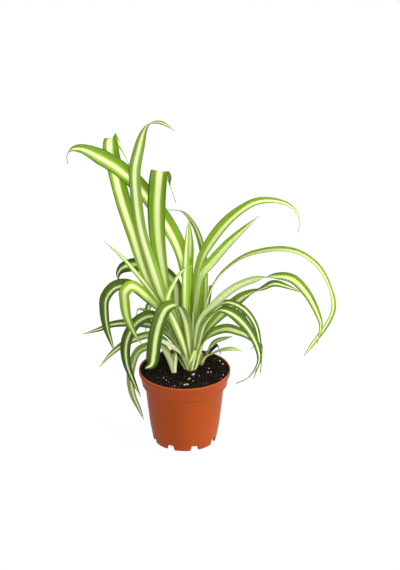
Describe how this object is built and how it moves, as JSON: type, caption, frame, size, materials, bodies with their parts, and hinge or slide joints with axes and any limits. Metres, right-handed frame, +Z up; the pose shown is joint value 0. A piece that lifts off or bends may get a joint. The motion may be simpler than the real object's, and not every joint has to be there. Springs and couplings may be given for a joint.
{
  "type": "potted spider plant",
  "caption": "Variegated spider plant with long arching striped leaves, growing in soil in a small round terracotta-coloured plastic nursery pot.",
  "frame": {"origin": "centre of the pot's flat hub on the surface it stands on", "axes": "+Z up along the pot's axis; -Y towards the front, where the broad drooping leaf hangs; +X to the right, towards the long right-hand arches"},
  "size_m": [0.2572, 0.1375, 0.3424],
  "materials": {
    "pot_plastic": "satin",
    "soil": "matte",
    "crown": "satin",
    "leaf_bright": "satin",
    "leaf_dark": "satin",
    "leaf_dried": "matte"
  },
  "bodies": {
    "root": {"pot": "pot_plastic", "soil": "soil", "crown_main": "crown", "crown_left": "crown", "crown_right": "crown", "leaf_tall_left_back": "leaf_bright", "leaf_big_left_arch": "leaf_bright", "leaf_tall_centre": "leaf_bright", "leaf_tall_folded": "leaf_bright", "leaf_swept_back_left": "leaf_bright", "leaf_big_right_arch": "leaf_bright", "leaf_upright": "leaf_bright", "leaf_straight_right": "leaf_bright", "leaf_long_right_arch": "leaf_bright", "leaf_second_right_arch": "leaf_bright", "leaf_wavy_right": "leaf_dark", "leaf_right_droop_inner": "leaf_dark", "leaf_right_droop_front": "leaf_dark", "leaf_low_right_arch": "leaf_dark", "leaf_low_right_back": "leaf_dark", "leaf_small_right": "leaf_dark", "leaf_small_right_low": "leaf_bright", "leaf_right_shoot": "leaf_dark", "leaf_thin_left": "leaf_bright", "leaf_left_arch_back": "leaf_dark", "leaf_left_droop_back": "leaf_dark", "leaf_left_droop_bright": "leaf_bright", "leaf_left_droop_front": "leaf_dark", "leaf_left_low_long": "leaf_dark", "leaf_front_left_broad": "leaf_dark", "leaf_far_left": "leaf_dark", "leaf_left_low_pointing": "leaf_dark", "leaf_left_curled": "leaf_dark", "leaf_centre_turned_right": "leaf_bright", "leaf_back_droop": "leaf_dark", "leaf_back_right_droop": "leaf_dark", "leaf_back_low_left": "leaf_dark", "leaf_back_low_right": "leaf_dark", "leaf_old_left": "leaf_bright", "leaf_torn_front": "leaf_bright", "leaf_withered_back": "leaf_dried"}
  },
  "joints": []
}
